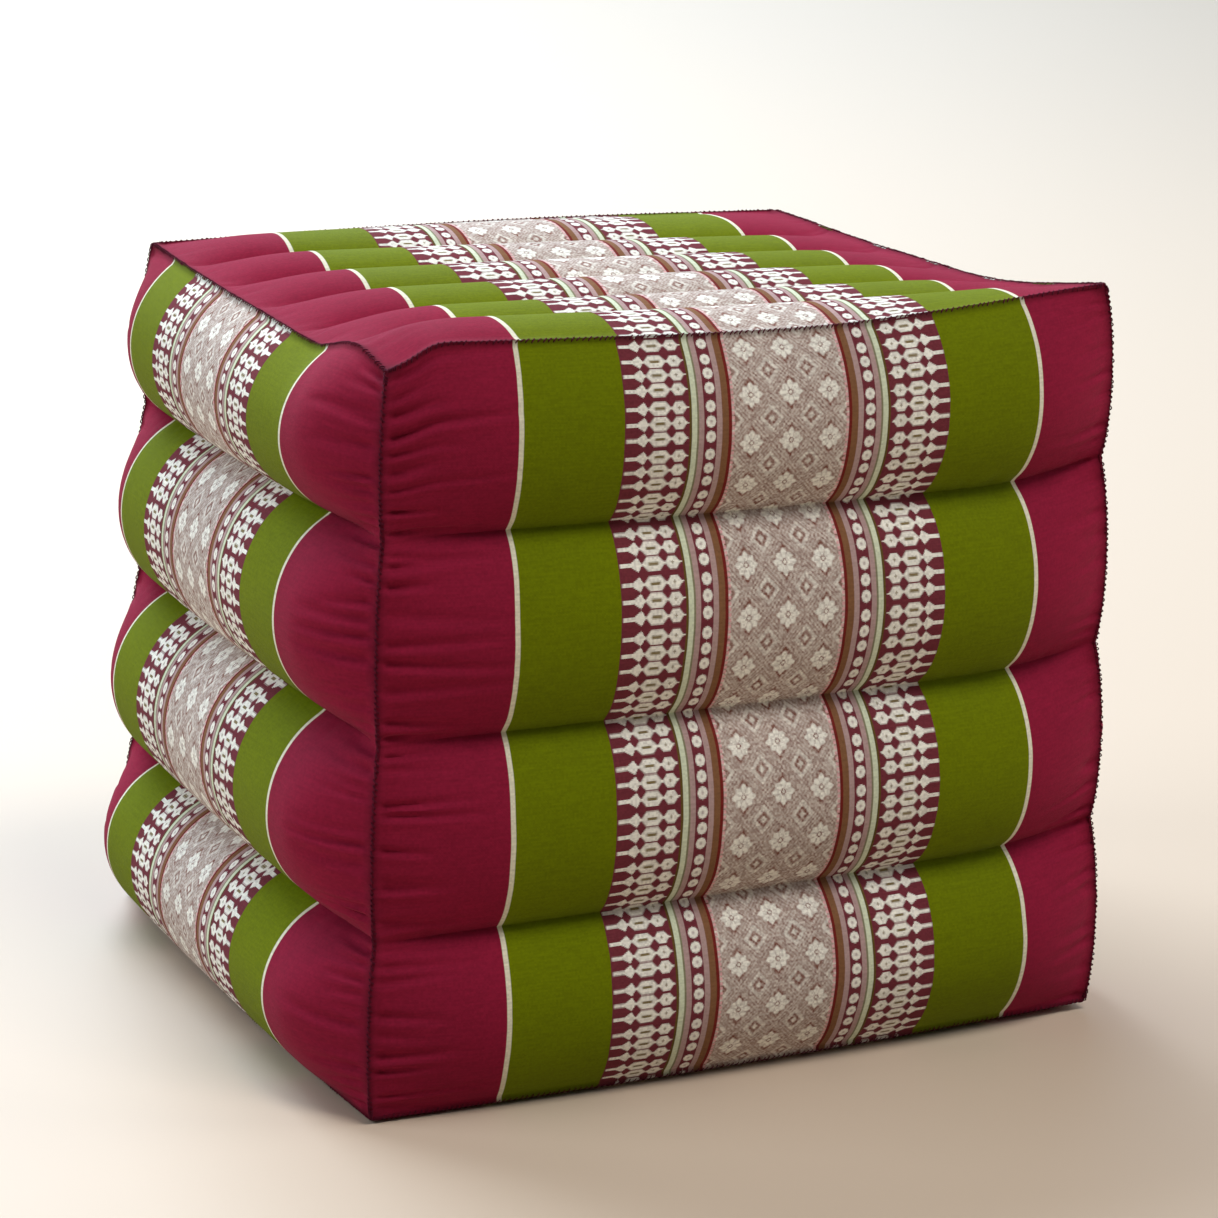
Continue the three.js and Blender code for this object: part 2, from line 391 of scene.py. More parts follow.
# Shrink of the spare cloth, less than nothing as it grows, and how many cells it reaches from a seam.
SPARE_CLOTH, SPARE_REACH = -0.06, 6.0
# How far the filled cover may move from its cut shape.
SIDE_CAP, TOP_CAP = 5 * MM, 1.5 * MM
# Height under which the cover is held to the floor.
FLOOR_HOLD = 1.5 * MM


def held_and_spare(cover, steps, stitched, full):
    """Weights for the stitching that holds, and for the spare cloth gathered along the upright seams."""
    held = cover.vertex_groups.new(name="held")
    floor = full[:, 2] < FLOOR_HOLD
    held.add([int(i) for i in np.flatnonzero(stitched | floor)], 1.0, "REPLACE")
    spare = cover.vertex_groups.new(name="spare")
    column, row, level = steps.T
    side = (level > 0) & (level < CELLS)
    from_seam = np.where((row % CELLS) == 0, np.minimum(column, CELLS - column), np.minimum(row, CELLS - row))
    weight = side * (0.15 + 0.85 * np.exp(-from_seam / SPARE_REACH))
    for index in np.flatnonzero(side):
        spare.add([int(index)], float(weight[index]), "REPLACE")


def inflate(cover, steps, stitched, full):
    """Fills the cover by cloth pressure with its stitching held, then keeps it near its cut shape."""
    held_and_spare(cover, steps, stitched, full)
    alone(cover)
    cloth = cover.modifiers.new("filling", "CLOTH")
    wear = cloth.settings
    wear.quality = 6
    wear.mass = 0.25
    wear.tension_stiffness = 20
    wear.compression_stiffness = 20
    wear.shear_stiffness = 8
    wear.bending_stiffness = 0.3
    wear.vertex_group_mass = "held"
    wear.use_pressure = True
    wear.uniform_pressure_force = SIM_PRESSURE
    wear.vertex_group_shrink = "spare"
    wear.shrink_min = 0
    wear.shrink_max = SPARE_CLOTH
    wear.effector_weights.gravity = 0
    cloth.collision_settings.use_collision = False
    cloth.point_cache.frame_start = 1
    cloth.point_cache.frame_end = SIM_FRAMES
    for number in range(1, SIM_FRAMES + 1):
        bpy.context.scene.frame_set(number)
    apply_modifiers(cover)
    bpy.context.scene.frame_set(1)
    level = steps[:, 2]
    cap = np.where((level > 0) & (level < CELLS), SIDE_CAP, TOP_CAP)
    moved = places(cover.data) - full
    far = np.maximum(np.linalg.norm(moved, axis=1), 1e-9)
    kept = cap * np.tanh(far / cap)
    settled = full + moved * (kept / far)[:, None]
    settled[:, 2] = np.maximum(settled[:, 2], 0)
    set_places(cover.data, settled)


RIDGE_HEIGHT = 1.5 * MM
CLOTH_THICKNESS = 1.2 * MM
SMOOTH_ANGLE = math.radians(62)
STITCHED_SHARPNESS = 0.9
# Share of the bake map's width that the outer faces take.
BAKE_ROOM = 0.975


def weights_of(piece, group):
    """Weight of every point of a piece in one of its groups."""
    number = piece.vertex_groups[group].index
    found = np.zeros(len(piece.data.vertices))
    for point in piece.data.vertices:
        for member in point.groups:
            if member.group == number:
                found[point.index] = member.weight
    return found


def raise_seams(cover):
    """Turns the panel edges up into a low ridge along every seam."""
    weight = weights_of(cover, "ridge")
    raised = places(cover.data) + normals(cover.data) * (RIDGE_HEIGHT * weight**2)[:, None]
    raised[:, 2] = np.maximum(raised[:, 2], 0)
    set_places(cover.data, raised)


def seam_lines(cover):
    """The twelve seams, each a row of places and outward directions."""
    mesh = cover.data
    lattice = np.empty(len(mesh.vertices) * 3, dtype=np.float32)
    mesh.attributes["lattice"].data.foreach_get("vector", lattice)
    lattice = lattice.reshape(-1, 3)
    at_end = (lattice < 0.01) | (lattice > CELLS - 0.01)
    spots, outward = places(mesh), normals(mesh)
    lines = []
    for axis in range(3):
        others = [other for other in range(3) if other != axis]
        for first in (0, CELLS):
            for second in (0, CELLS):
                on = at_end[:, others].all(axis=1)
                on &= abs(lattice[:, others[0]] - first) < 0.01
                on &= abs(lattice[:, others[1]] - second) < 0.01
                order = np.flatnonzero(on)
                order = order[np.argsort(lattice[order, axis])]
                lines.append({"upright": axis == 2, "spots": spots[order], "outward": outward[order]})
    return lines


def panel_shares(mesh):
    """Share across and along the panel for every point, from its bake map."""
    flat = np.empty(len(mesh.loops) * 2, dtype=np.float32)
    mesh.uv_layers["OFBake"].data.foreach_get("uv", flat)
    corner = np.empty(len(mesh.loops), dtype=int)
    mesh.loops.foreach_get("vertex_index", corner)
    found = np.zeros((len(mesh.vertices), 2))
    found[corner] = flat.reshape(-1, 2)
    return found.T


# Puckers drawn in by the seams at the ends of a panel: count, least and most reach, and depth in millimetres.
PUCKERS = {
    "front": {"start": (36, 18, 64, 3.0), "end": (30, 14, 44, 2.2)},
    "back": {"start": (30, 16, 50, 2.4), "end": (30, 16, 50, 2.4)},
    "left": {"start": (44, 14, 50, 3.2), "end": (30, 12, 36, 2.0)},
    "right": {"start": (30, 14, 46, 2.4), "end": (30, 14, 46, 2.4)},
    "top": {"start": (24, 10, 30, 0.9), "end": (24, 10, 30, 0.9)},
    "base": {"start": (0, 6, 20, 0.4), "end": (0, 6, 20, 0.4)},
}
PUCKER_LEAST, PUCKER_MOST, PUCKER_SLOPE = 1.3, 2.6, 0.12
# A low ridge beside each pucker: its height as a share of the depth, and its place in thicknesses.
PUCKER_RIDGE, PUCKER_RIDGE_AWAY = 0.4, 1.6
# Tucks along the stitched creases, in millimetres.
TUCK_SPACING, TUCK_REACH, TUCK_DEPTH, TUCK_START = 9.0, 13.0, 0.7, 12.0
TUCK_LEAST, TUCK_MOST = 1.6, 3.0
# How far the dark of the stitching and the painted shade of the seam valleys spread from the seams, and the
# painted shade of the pits from the corners, in millimetres; then how dark the corner pits are painted.
SEAM_SHADE, CORNER_SHADE, CORNER_PAINTED_SHADE = 2.8, 7.0, 1.25


def pucker_depths(panel, across, along, width, length, draw):
    """Depth in millimetres of the small puckers along the seams and creases of a panel."""
    depth = np.zeros(len(across))
    for end in ("start", "end"):
        count, least, most, deepest = PUCKERS[panel][end]
        away = (across if end == "start" else 1 - across) * width
        for number in range(count):
            middle = (number + draw.uniform(0.1, 0.9)) / count * length
            reach = draw.uniform(least, most)
            deep = deepest * draw.uniform(0.3, 1)
            thick = draw.uniform(PUCKER_LEAST, PUCKER_MOST)
            slope = draw.uniform(-PUCKER_SLOPE, PUCKER_SLOPE)
            off = (along * length - middle - slope * away) / thick
            fade = np.clip(1 - away / reach, 0, 1) * np.clip(away / 3, 0, 1)
            ridge = PUCKER_RIDGE * np.exp(-((off + PUCKER_RIDGE_AWAY) ** 2))
            depth += deep * (np.exp(-(off**2)) - ridge) * fade
    count = RIBS if panel in ("top", "base") else CHANNELS
    pitch = length / count
    for crease in range(1, count):
        away = abs(along * length - crease * pitch)
        place = TUCK_START
        while place < width - TUCK_START:
            reach = TUCK_REACH * draw.uniform(0.5, 1.4)
            deep = TUCK_DEPTH * draw.uniform(0.2, 1)
            thick = draw.uniform(TUCK_LEAST, TUCK_MOST)
            off = (across * width - place) / thick
            fade = np.clip(1 - away / reach, 0, 1) ** 1.2 * np.clip(away / 3, 0, 1)
            depth += deep * np.exp(-(off**2)) * fade
            place += TUCK_SPACING * draw.uniform(0.6, 1.5)
    rim = np.minimum(np.minimum(across, 1 - across) * width, np.minimum(along, 1 - along) * length)
    return depth * np.clip(rim / 4, 0, 1)


def pucker(piece, panel):
    """Draws the puckers into a panel and notes how near each point lies to the seams and corners, where the
    dark thread and painted shade darken the cloth.
    """
    mesh = piece.data
    across, along = panel_shares(mesh)
    width = BOX_DEPTH if panel in ("left", "right") else BOX_WIDTH
    length = TOP_CLOTH if panel in ("top", "base") else SIDE_CLOTH
    rim = np.minimum(np.minimum(across, 1 - across) * width, np.minimum(along, 1 - along) * length)
    # Painted shade: the seam valleys and the pits at the corners, together with the dark of the thread along
    # the seams.
    from_corner = np.hypot(ends_of(across) * width, ends_of(along) * length)
    painted_corner_shade = np.clip(CORNER_PAINTED_SHADE - from_corner / CORNER_SHADE, 0, CORNER_PAINTED_SHADE)
    thread_and_painted_shade = np.maximum(np.clip(1 - rim / SEAM_SHADE, 0, 1), painted_corner_shade)
    near = mesh.attributes.new("seam", "FLOAT", "POINT")
    near.data.foreach_set("value", thread_and_painted_shade.astype(np.float32))
    draw = random.Random("pucker " + panel)
    depth = pucker_depths(panel, across, along, width, length, draw)
    drawn = places(mesh) - normals(mesh) * (depth * MM)[:, None]
    drawn[:, 2] = np.maximum(drawn[:, 2], 0)
    set_places(mesh, drawn)


def thicken(piece, cloth):
    """Gives a panel the thickness of its cloth, with the hidden faces in a strip of the bake map."""
    mesh = piece.data
    mesh.materials.clear()
    mesh.materials.append(cloth)
    mesh.materials.append(cloth)
    mesh.polygons.foreach_set("material_index", np.zeros(len(mesh.polygons), dtype=int))
    wall = piece.modifiers.new("thickness", "SOLIDIFY")
    wall.thickness = CLOTH_THICKNESS
    wall.offset = -1
    wall.material_offset = 1
    wall.material_offset_rim = 1
    apply_modifiers(piece)
    hidden = np.empty(len(mesh.polygons), dtype=int)
    mesh.polygons.foreach_get("material_index", hidden)
    sides = np.empty(len(mesh.polygons), dtype=int)
    mesh.polygons.foreach_get("loop_total", sides)
    layer = mesh.uv_layers["OFBake"].data
    flat = np.empty(len(mesh.loops) * 2, dtype=np.float32)
    layer.foreach_get("uv", flat)
    flat = flat.reshape(-1, 2)
    strip = np.repeat(hidden, sides) == 1
    flat[:, 0] = np.where(strip, BAKE_ROOM + 0.005 + flat[:, 0] * (0.99 - BAKE_ROOM), flat[:, 0] * BAKE_ROOM)
    layer.foreach_set("uv", flat.ravel())
    mesh.polygons.foreach_set("material_index", np.zeros(len(mesh.polygons), dtype=int))
    mesh.materials.pop()
    alone(piece)
    bpy.ops.object.shade_smooth_by_angle(angle=SMOOTH_ANGLE)


# Cloth and thread

def srgb(red, green, blue):
    def straight(value):
        value /= 255
        return value / 12.92 if value <= 0.04045 else ((value + 0.055) / 1.055) ** 2.4

    return (straight(red), straight(green), straight(blue), 1)


class Loom:
    """Draws the chart of a weave with math nodes."""

    def __init__(self, tree):
        self.tree = tree

    def feed(self, socket, value):
        if hasattr(value, "links"):
            self.tree.links.new(value, socket)
        else:
            socket.default_value = value

    def number(self, operation, *values, clamp=False):
        node = self.tree.nodes.new("ShaderNodeMath")
        node.operation = operation
        node.use_clamp = clamp
        for socket, value in zip(node.inputs, values):
            self.feed(socket, value)
        return node.outputs[0]

    def plus(self, first, *others):
        for other in others:
            first = self.number("ADD", first, other)
        return first

    def minus(self, first, second):
        return self.number("SUBTRACT", first, second)

    def times(self, first, *others):
        for other in others:
            first = self.number("MULTIPLY", first, other)
        return first

    def size(self, value):
        return self.number("ABSOLUTE", value)

    def beyond(self, value, edge, soft=0.3):
        return self.number("MULTIPLY_ADD", value, 1 / soft, 0.5 - edge / soft, clamp=True)

    def within(self, value, edge, soft=0.3):
        return self.number("MULTIPLY_ADD", value, -1 / soft, 0.5 + edge / soft, clamp=True)

    def between(self, value, low, high, soft=0.3):
        return self.times(self.beyond(value, low, soft), self.within(value, high, soft))

    def either(self, first, *others):
        for other in others:
            first = self.number("MAXIMUM", first, other)
        return first

    def blend(self, share, under, over):
        node = self.tree.nodes.new("ShaderNodeMix")
        node.data_type = "RGBA"
        self.feed(node.inputs[0], share)
        self.feed(node.inputs[6], under)
        self.feed(node.inputs[7], over)
        return node.outputs[2]

    def pair(self, first, second):
        node = self.tree.nodes.new("ShaderNodeCombineXYZ")
        self.feed(node.inputs[0], first)
        self.feed(node.inputs[1], second)
        return node.outputs[0]

    def clouds(self, place, scale, detail=2):
        node = self.tree.nodes.new("ShaderNodeTexNoise")
        node.noise_dimensions = "2D"
        self.tree.links.new(place, node.inputs["Vector"])
        node.inputs["Scale"].default_value = scale
        node.inputs["Detail"].default_value = detail
        return node.outputs[0]

    def speckle(self, u, v, pitch):
        cell = self.pair(
            self.number("FLOOR", self.times(u, 1 / pitch)),
            self.number("FLOOR", self.times(v, 1 / pitch)),
        )
        node = self.tree.nodes.new("ShaderNodeTexWhiteNoise")
        node.noise_dimensions = "2D"
        self.tree.links.new(cell, node.inputs["Vector"])
        return node.outputs[0]


RED = srgb(132, 24, 51)
GREEN = srgb(101, 112, 1)
CREAM = srgb(230, 226, 214)
CREAM_LINE = srgb(216, 210, 186)
MAROON = srgb(108, 46, 54)
BROWN = srgb(124, 86, 58)
ROSE_GREY = srgb(170, 142, 138)
PALE_GREEN = srgb(202, 208, 180)
OLIVE = srgb(128, 124, 96)
DARK_OLIVE = srgb(92, 74, 34)
SLIT = srgb(124, 108, 74)
EARTH = srgb(124, 78, 66)
EDGE_RED = srgb(112, 36, 32)
EDGE_PINK = srgb(214, 160, 160)
THREAD_DARK, THREAD_LIGHT = srgb(52, 8, 24), srgb(92, 18, 40)
# Size of the grain of the threads in millimetres, and how dark the cloth is along the seams: the dark thread
# there and the painted shade of the seam valleys.
GRAIN_PITCH, SEAM_THREAD_AND_PAINTED_SHADE = 0.95, 0.55

# The half chart of the bands, from the middle of the cloth outwards, in millimetres.
CENTRE_TO, EDGE_TO, BROWN_TO, ROSE_TO = 27.5, 29.0, 32.0, 34.5
DOTS_TO, GREY_TO, OLIVE_TO, PALE_TO, RIM_TO, CHAIN_TO = 40.4, 42.8, 43.7, 46.1, 47.2, 76.5
GREEN_TO, LINE_TO = 122.4, 124.6
ROW_PITCH, GROUP_GAP = 6.5, 1.3
FLOWER_ACROSS, FLOWER_ALONG = 18.4, 20.8
# Pitch of the threads that step the figures' edges.
WARP_PITCH, WEFT_PITCH = 0.5, 0.55


def motif_rows(loom, v):
    """Distance from the middle of the nearest motif row; rows stand in threes."""
    group = ROW_PITCH * 3 + GROUP_GAP
    inside = loom.minus(loom.number("FLOORED_MODULO", v, group), GROUP_GAP / 2)
    row = loom.number("FLOOR", loom.times(inside, 1 / ROW_PITCH))
    row = loom.number("MINIMUM", loom.number("MAXIMUM", row, 0), 2)
    return loom.size(loom.minus(loom.minus(inside, loom.times(row, ROW_PITCH)), ROW_PITCH / 2))


def chain_chart(loom, q, y):
    """Cream share and slit share of the chain: bud, oval ring, arrowhead and tail, outwards."""
    from_bud = loom.size(loom.minus(q, 4.8))
    bud_side = loom.times(loom.plus(from_bud, loom.times(y, 0.75)), 1 / 3.5)
    bud = loom.within(loom.either(loom.times(y, 1 / 2.6), bud_side), 1, 0.2)
    tip = loom.within(loom.plus(loom.times(from_bud, 1 / 4.6), loom.times(y, 1 / 1.7)), 1, 0.2)
    dot = loom.times(loom.within(loom.plus(from_bud, y), 0.75, 0.7), 0.8)
    from_oval = loom.size(loom.minus(q, 13.6))
    oval_end = loom.times(loom.plus(from_oval, loom.times(y, 0.9)), 1 / 5.2)
    oval = loom.within(loom.either(loom.times(y, 1 / 2.9), oval_end), 1, 0.2)
    slit_end = loom.times(loom.plus(from_oval, loom.times(y, 0.5)), 1 / 2.4)
    slit = loom.within(loom.either(loom.times(y, 1 / 0.62), slit_end), 1, 0.5)
    outer_side = loom.number("MULTIPLY_ADD", q, -1 / 4.1, 25 / 4.1)
    inner_side = loom.number("MULTIPLY_ADD", q, 1 / 1.7, -18.8 / 1.7)
    arrow_edge = loom.times(loom.number("MINIMUM", loom.number("MINIMUM", outer_side, inner_side), 1), 2.75)
    arrow = loom.within(loom.minus(y, arrow_edge), 0, 0.5)
    neck = loom.times(loom.within(y, 0.5), loom.between(q, 7.6, 19.6))
    tail = loom.times(loom.within(y, 0.8), loom.between(q, 22, 28.8))
    cream = loom.either(bud, tip, oval, arrow, neck, tail)
    return cream, loom.either(dot, slit)


def dot_chart(loom, x, y):
    """Cream share of the row of small rings."""
    tall = loom.times(y, 0.9)
    ring = loom.plus(loom.times(loom.either(x, tall), 0.55), loom.times(loom.plus(x, tall), 0.38))
    hole = loom.times(loom.within(ring, 0.6, 0.6), 0.5)
    return loom.minus(loom.within(ring, 2.2, 0.45), hole)


def flower_chart(loom, u, v):
    """Tone of the flowered centre, from 0, earth, to 1, cream."""
    def folded(value, pitch):
        cell = loom.times(value, 1 / pitch)
        return loom.times(loom.size(loom.minus(cell, loom.number("ROUND", cell))), pitch)

    x, y = folded(u, FLOWER_ACROSS), folded(v, FLOWER_ALONG)
    diamond = loom.plus(loom.times(x, 2 / FLOWER_ACROSS), loom.times(y, 2 / FLOWER_ALONG))
    reach = loom.plus(
        loom.times(loom.number("SQRT", loom.plus(loom.times(x, x), loom.times(y, y))), 0.55),
        loom.times(loom.plus(x, y), 0.36),
    )
    turn = loom.number("COSINE", loom.times(loom.number("ARCTAN2", y, x), 8))
    parting = loom.beyond(loom.plus(turn, loom.times(reach, 0.1)), -0.5, 0.9)
    petal = loom.times(
        loom.within(loom.minus(reach, loom.times(turn, 0.4)), 4.7, 0.9),
        loom.beyond(reach, 1.2, 0.6),
        loom.number("MULTIPLY_ADD", parting, 0.45, 0.55),
    )
    flower = loom.either(petal, loom.within(reach, 0.7, 0.5))
    tone = loom.plus(0.4, loom.times(flower, 0.58))
    shade = loom.times(loom.within(diamond, 0.72, 0.1), loom.minus(1, flower))
    tone = loom.minus(tone, loom.times(shade, loom.number("MULTIPLY_ADD", loom.within(x, 2, 3), 0.2, 0.14)))
    lines = loom.number("SINE", loom.times(diamond, 2 * math.pi / 0.2))
    lined = loom.between(diamond, 0.76, 1.36, 0.06)
    tone = loom.plus(tone, loom.times(lines, lined, 0.09))
    eye = loom.minus(2, diamond)
    tone = loom.plus(tone, loom.times(loom.between(eye, 0.38, 0.6, 0.1), 0.3))
    tone = loom.minus(tone, loom.times(loom.between(eye, 0.17, 0.36, 0.1), 0.24))
    tone = loom.plus(tone, loom.times(loom.within(eye, 0.15, 0.1), 0.36))
    twill = loom.number("SINE", loom.times(loom.plus(u, v), 2 * math.pi / 2.3))
    return loom.plus(tone, loom.times(twill, loom.minus(1, flower), 0.06))


def woven_cotton():
    """Plain red ends, green bands and a figured middle, all on one cloth."""
    cloth = bpy.data.materials.new("woven_cotton")
    cloth.use_nodes = True
    tree = cloth.node_tree
    loom = Loom(tree)
    surface = tree.nodes["Principled BSDF"]
    chart = tree.nodes.new("ShaderNodeUVMap")
    chart.uv_map = "cloth"
    parts = tree.nodes.new("ShaderNodeSeparateXYZ")
    tree.links.new(chart.outputs[0], parts.inputs[0])
    drift = loom.times(loom.minus(loom.clouds(chart.outputs[0], 26), 0.5), 1.3)
    u = loom.plus(loom.times(parts.outputs[0], 1 / MM), drift)
    v = loom.plus(loom.times(parts.outputs[1], 1 / MM), loom.times(drift, 0.7))
    p = loom.size(u)
    stepped_u = loom.number("SNAP", u, WARP_PITCH)
    stepped_v = loom.number("SNAP", v, WEFT_PITCH)
    stepped_p = loom.size(stepped_u)
    y = motif_rows(loom, stepped_v)
    grain = loom.speckle(u, v, GRAIN_PITCH)
    cream, slit = chain_chart(loom, loom.minus(stepped_p, RIM_TO), y)
    rings = dot_chart(loom, loom.size(loom.minus(stepped_p, (ROSE_TO + DOTS_TO) / 2)), y)
    tone = loom.plus(flower_chart(loom, stepped_u, stepped_v), loom.times(loom.minus(grain, 0.5), 0.3))
    tone = loom.number("MINIMUM", loom.number("MAXIMUM", tone, 0), 1)
    thread = loom.times(loom.minus(grain, 0.5), 0.22)
    chain = loom.blend(loom.number("ADD", cream, loom.times(thread, cream), clamp=True), MAROON, CREAM)
    chain = loom.blend(slit, chain, SLIT)
    colour = loom.blend(tone, EARTH, CREAM)
    stitch = loom.within(loom.number("PINGPONG", stepped_v, 1.1), 0.6)
    colour = loom.blend(loom.times(stitch, loom.beyond(p, CENTRE_TO - 1.3)), colour, EDGE_PINK)
    for edge, over in (
        (CENTRE_TO, EDGE_RED),
        (EDGE_TO, BROWN),
        (BROWN_TO, ROSE_GREY),
        (ROSE_TO, loom.blend(rings, MAROON, CREAM)),
        (DOTS_TO, ROSE_GREY),
        (GREY_TO, OLIVE),
        (OLIVE_TO, PALE_GREEN),
        (PALE_TO, DARK_OLIVE),
        (RIM_TO, chain),
        (CHAIN_TO, GREEN),
        (GREEN_TO, CREAM_LINE),
        (LINE_TO, RED),
    ):
        colour = loom.blend(loom.beyond(p, edge), colour, over)
    streak = loom.clouds(loom.pair(loom.times(u, 0.09), loom.times(v, 1.0)), 1.0, 3)
    cloud = loom.clouds(chart.outputs[0], 14, 3)
    shade = loom.plus(0.76, loom.times(cloud, 0.18), loom.times(streak, 0.3), loom.times(thread, 0.7))
    # Darker along the seams and at the corners: partly the dark overcast thread, partly painted shade of the
    # seam valleys and corner pits.
    seam = tree.nodes.new("ShaderNodeAttribute")
    seam.attribute_name = "seam"
    shade = loom.times(shade, loom.minus(1, loom.times(seam.outputs["Fac"], SEAM_THREAD_AND_PAINTED_SHADE)))
    tone_and_painted_shade = tree.nodes.new("ShaderNodeVectorMath")
    tone_and_painted_shade.operation = "SCALE"
    tree.links.new(colour, tone_and_painted_shade.inputs[0])
    tree.links.new(shade, tone_and_painted_shade.inputs["Scale"])
    tree.links.new(tone_and_painted_shade.outputs[0], surface.inputs["Base Color"])
    figured = loom.within(p, CHAIN_TO)
    rough = loom.plus(0.78, loom.times(cloud, 0.12), loom.times(figured, 0.05))
    tree.links.new(rough, surface.inputs["Roughness"])
    warp = loom.number("SINE", loom.times(u, 2 * math.pi / 0.62))
    weft = loom.number("SINE", loom.times(v, 2 * math.pi / 0.62))
    relief = loom.plus(loom.times(warp, weft, 0.22), loom.times(grain, figured, 0.3), loom.times(streak, 0.3))
    raised = loom.either(
        loom.times(cream, loom.between(p, RIM_TO, CHAIN_TO)),
        loom.times(rings, loom.between(p, ROSE_TO, DOTS_TO)),
    )
    relief = loom.plus(relief, loom.times(raised, 0.6))
    bump = tree.nodes.new("ShaderNodeBump")
    bump.inputs["Strength"].default_value = 0.5
    bump.inputs["Distance"].default_value = 0.3 * MM
    tree.links.new(relief, bump.inputs["Height"])
    tree.links.new(bump.outputs[0], surface.inputs["Normal"])
    surface.inputs["Sheen Weight"].default_value = 0.03
    surface.inputs["Sheen Roughness"].default_value = 0.35
    surface.inputs["Specular IOR Level"].default_value = 0.06
    return cloth


def seam_cotton():
    """Dark twisted thread."""
    thread = bpy.data.materials.new("seam_thread")
    thread.use_nodes = True
    tree = thread.node_tree
    loom = Loom(tree)
    surface = tree.nodes["Principled BSDF"]
    place = tree.nodes.new("ShaderNodeTexCoord")
    noise = tree.nodes.new("ShaderNodeTexNoise")
    noise.inputs["Scale"].default_value = 900
    tree.links.new(place.outputs["Object"], noise.inputs["Vector"])
    tree.links.new(loom.blend(noise.outputs[0], THREAD_DARK, THREAD_LIGHT), surface.inputs["Base Color"])
    surface.inputs["Roughness"].default_value = 0.8
    surface.inputs["Specular IOR Level"].default_value = 0.1
    return thread


STITCH_PITCH, STITCH_SPAN, THREAD_RADIUS = 2.4 * MM, 1.25 * MM, 0.3 * MM
STITCH_LEAN = math.radians(54)
# How deep the stitches sink into the seams, as shares of their span.
UPRIGHT_SINK, LEVEL_SINK = (0.5, 0.9), (0.82, 1.06)
# Bare end of a seam, and the length at its ends that is sewn more closely.
SEAM_END, FASTENED, FASTENED_PITCH = 0.8 * MM, 4.5 * MM, 0.4


def stitch_loop():
    """One overcast stitch: an open arch of thread, closed at its ends."""
    bpy.ops.object.select_all(action="DESELECT")
    bpy.ops.mesh.primitive_torus_add(
        major_radius=STITCH_SPAN,
        minor_radius=THREAD_RADIUS,
        major_segments=10,
        minor_segments=4,
        rotation=(math.pi / 2, 0, 0),
    )
    loop = active()
    bpy.ops.object.transform_apply(rotation=True)
    bpy.ops.object.mode_set(mode="EDIT")
    bpy.ops.mesh.select_all(action="DESELECT")
    bpy.ops.object.mode_set(mode="OBJECT")
    for point in loop.data.vertices:
        point.select = point.co.z < -0.75 * STITCH_SPAN
    bpy.ops.object.mode_set(mode="EDIT")
    bpy.ops.mesh.delete(type="VERT")
    bpy.ops.mesh.select_all(action="SELECT")
    bpy.ops.mesh.fill_holes(sides=0)
    bpy.ops.mesh.normals_make_consistent(inside=False)
    bpy.ops.object.mode_set(mode="OBJECT")
    return loop


def overcast(lines, thread):
    """Copies the stitch along every seam and joins the copies into one piece."""
    first = stitch_loop()
    first.data.materials.append(thread)
    draw = random.Random("overcast")
    copies = []
    for line in lines:
        spots, outward = line["spots"], line["outward"]
        sink = UPRIGHT_SINK if line["upright"] else LEVEL_SINK
        step = np.linalg.norm(np.diff(spots, axis=0), axis=1)
        length = np.concatenate([[0], np.cumsum(step)])
        place = SEAM_END
        while place < length[-1] - SEAM_END:
            middle = Vector([np.interp(place, length, spots[:, axis]) for axis in range(3)])
            out = Vector([np.interp(place, length, outward[:, axis]) for axis in range(3)]).normalized()
            ahead = Vector([np.interp(place + MM, length, spots[:, axis]) for axis in range(3)])
            behind = Vector([np.interp(place - MM, length, spots[:, axis]) for axis in range(3)])
            along = (ahead - behind).normalized()
            along = (along - out * along.dot(out)).normalized()
            side = out.cross(along)
            lean = STITCH_LEAN + draw.uniform(-0.22, 0.22)
            across = side * math.cos(lean) + along * math.sin(lean)
            third = out.cross(across)
            sunk = middle - out * (STITCH_SPAN * draw.uniform(*sink))
            turned = Matrix((across, third, out)).transposed().to_4x4()
            copy = first.copy()
            copy.data = first.data.copy()
            copy.matrix_world = Matrix.Translation(sunk) @ turned
            bpy.context.collection.objects.link(copy)
            copies.append(copy)
            close = min(place, length[-1] - place) < FASTENED
            place += STITCH_PITCH * draw.uniform(0.82, 1.2) * (FASTENED_PITCH if close else 1)
    bpy.data.objects.remove(first)
    bpy.ops.object.select_all(action="DESELECT")
    for copy in copies:
        copy.select_set(True)
    bpy.context.view_layer.objects.active = copies[0]
    bpy.ops.object.join()
    bpy.ops.object.transform_apply(location=True, rotation=True, scale=True)
    stitches = active()
    stitches.name = "seam_thread"
    bpy.ops.object.shade_smooth()
    return stitches


cover, steps = lattice_cube()
seam, stitched = stitched_points(steps)
full = stuffed_cube(*steps.T, 1.0)
set_places(cover.data, stuffed_cube(*steps.T, SIM_START))
inflate(cover, steps, stitched, full)
crease_edges(cover.data, stitched)
ridge = cover.vertex_groups.new(name="ridge")
ridge.add([int(i) for i in np.flatnonzero(seam)], 1.0, "REPLACE")
smooth = cover.modifiers.new("smooth", "SUBSURF")
smooth.levels = smooth.render_levels = 1
apply_modifiers(cover)
raise_seams(cover)
lines = seam_lines(cover)

